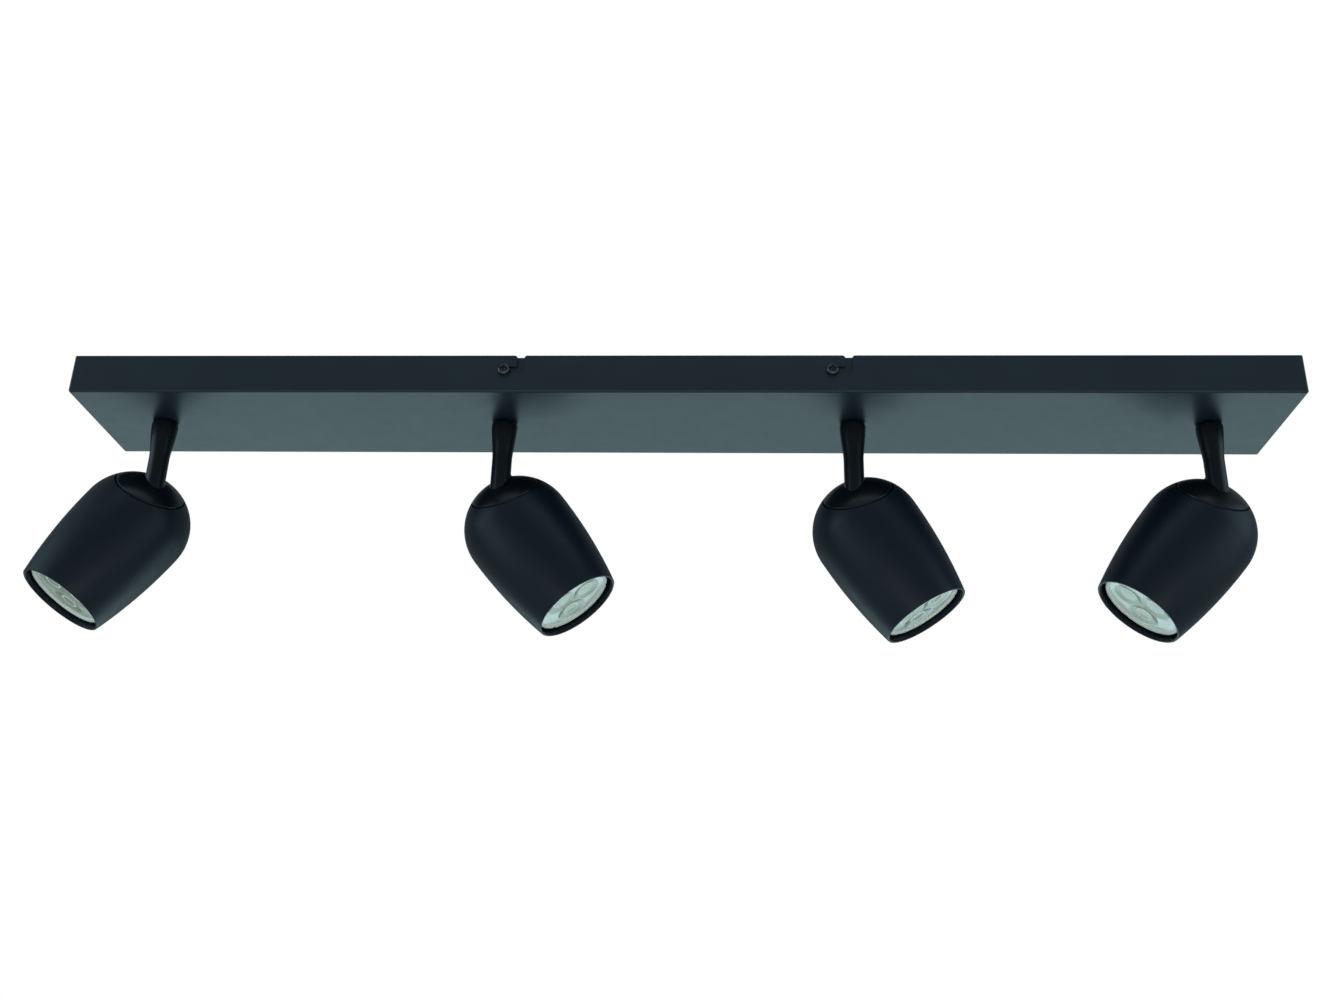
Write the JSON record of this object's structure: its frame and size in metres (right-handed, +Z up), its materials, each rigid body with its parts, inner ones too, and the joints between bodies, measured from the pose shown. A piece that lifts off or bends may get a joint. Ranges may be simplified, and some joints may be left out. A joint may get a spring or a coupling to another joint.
{
  "type": "ceiling spot bar",
  "caption": "Long flat open-topped ceiling bar with bullet-shaped spot heads, each on a short round arm whose domed 45 degree swivel cap turns it in any direction.",
  "frame": {"origin": "centre of the ceiling plane, on the top face of the bracket's middle pad", "axes": "+X along the bar towards its right end, +Y away from the front side, +Z up into the ceiling"},
  "size_m": [0.7759, 0.1041, 0.159],
  "materials": {
    "canopy_paint": "satin black powder coat on folded steel",
    "arm_paint": "satin black powder coat on turned steel",
    "head_paint": "satin black powder coat on spun steel",
    "zinc_steel": "bright zinc plate",
    "dark_screw": "black nickel plate",
    "grommet_rubber": "moulded black rubber",
    "block_plastic": "moulded natural nylon",
    "lead_white": "extruded heat-resistant sleeve",
    "sleeve_plastic": "crimped splice sleeve",
    "lead_brown": "extruded insulation",
    "lead_blue": "extruded insulation",
    "lead_earth": "extruded insulation, green with a yellow stripe",
    "holder_ceramic": "fired steatite",
    "lamp_white": "moulded white lamp housing",
    "lens_glass": "moulded clear lens",
    "pin_metal": "nickelled brass"
  },
  "bodies": {
    "canopy_body": {"canopy": "canopy_paint", "ceiling_bracket": "canopy_paint", "canopy_screws": "dark_screw", "mains_grommet": "grommet_rubber", "terminal_block": "block_plastic", "terminal_screws": "zinc_steel", "earth_screw": "zinc_steel", "lamp_leads": "lead_white", "splice_sleeves": "sleeve_plastic", "supply_brown": "lead_brown", "supply_blue": "lead_blue", "supply_earth": "lead_earth"},
    "arm_1_body": {"arm_1": "arm_paint", "spigot_nuts_1": "zinc_steel", "spring_washers_1": "zinc_steel", "arm_leads_1": "lead_white"},
    "head_1_body": {"head_shell_1": "head_paint", "holder_bridge_1": "zinc_steel", "lampholder_1": "holder_ceramic", "holder_screws_1": "zinc_steel", "holder_leads_1": "lead_white", "lamp_body_1": "lamp_white", "lamp_lens_1": "lens_glass", "lamp_pins_1": "pin_metal"},
    "arm_2_body": {"arm_2": "arm_paint", "spigot_nuts_2": "zinc_steel", "spring_washers_2": "zinc_steel", "arm_leads_2": "lead_white"},
    "head_2_body": {"head_shell_2": "head_paint", "holder_bridge_2": "zinc_steel", "lampholder_2": "holder_ceramic", "holder_screws_2": "zinc_steel", "holder_leads_2": "lead_white", "lamp_body_2": "lamp_white", "lamp_lens_2": "lens_glass", "lamp_pins_2": "pin_metal"},
    "arm_3_body": {"arm_3": "arm_paint", "spigot_nuts_3": "zinc_steel", "spring_washers_3": "zinc_steel", "arm_leads_3": "lead_white"},
    "head_3_body": {"head_shell_3": "head_paint", "holder_bridge_3": "zinc_steel", "lampholder_3": "holder_ceramic", "holder_screws_3": "zinc_steel", "holder_leads_3": "lead_white", "lamp_body_3": "lamp_white", "lamp_lens_3": "lens_glass", "lamp_pins_3": "pin_metal"},
    "arm_4_body": {"arm_4": "arm_paint", "spigot_nuts_4": "zinc_steel", "spring_washers_4": "zinc_steel", "arm_leads_4": "lead_white"},
    "head_4_body": {"head_shell_4": "head_paint", "holder_bridge_4": "zinc_steel", "lampholder_4": "holder_ceramic", "holder_screws_4": "zinc_steel", "holder_leads_4": "lead_white", "lamp_body_4": "lamp_white", "lamp_lens_4": "lens_glass", "lamp_pins_4": "pin_metal"}
  },
  "joints": [
    {"name": "arm_1_swivel", "type": "hinge", "parent": "canopy_body", "child": "arm_1_body", "pos_m": [-0.33, 0, -0.025], "axis": [0, 0, 1], "range_deg": [-219, 131]},
    {"name": "head_1_swivel", "type": "hinge", "parent": "arm_1_body", "child": "head_1_body", "pos_m": [-0.33, 0, -0.0645], "axis": [0.4912, -0.5087, 0.7071], "range_deg": [-131, 219]},
    {"name": "arm_2_swivel", "type": "hinge", "parent": "canopy_body", "child": "arm_2_body", "pos_m": [-0.11, 0, -0.025], "axis": [0, 0, 1], "range_deg": [-150, 200]},
    {"name": "head_2_swivel", "type": "hinge", "parent": "arm_2_body", "child": "head_2_body", "pos_m": [-0.11, 0, -0.0645], "axis": [-0.2988, -0.6409, 0.7071], "range_deg": [-229.5, 120.5]},
    {"name": "arm_3_swivel", "type": "hinge", "parent": "canopy_body", "child": "arm_3_body", "pos_m": [0.11, 0, -0.025], "axis": [0, 0, 1], "range_deg": [-152, 198]},
    {"name": "head_3_swivel", "type": "hinge", "parent": "arm_3_body", "child": "head_3_body", "pos_m": [0.11, 0, -0.0645], "axis": [-0.2763, -0.6509, 0.7071], "range_deg": [-219, 131]},
    {"name": "arm_4_swivel", "type": "hinge", "parent": "canopy_body", "child": "arm_4_body", "pos_m": [0.33, 0, -0.025], "axis": [0, 0, 1], "range_deg": [-194, 156]},
    {"name": "head_4_swivel", "type": "hinge", "parent": "arm_4_body", "child": "head_4_body", "pos_m": [0.33, 0, -0.0645], "axis": [0.2302, -0.6686, 0.7071], "range_deg": [-118, 232]}
  ]
}
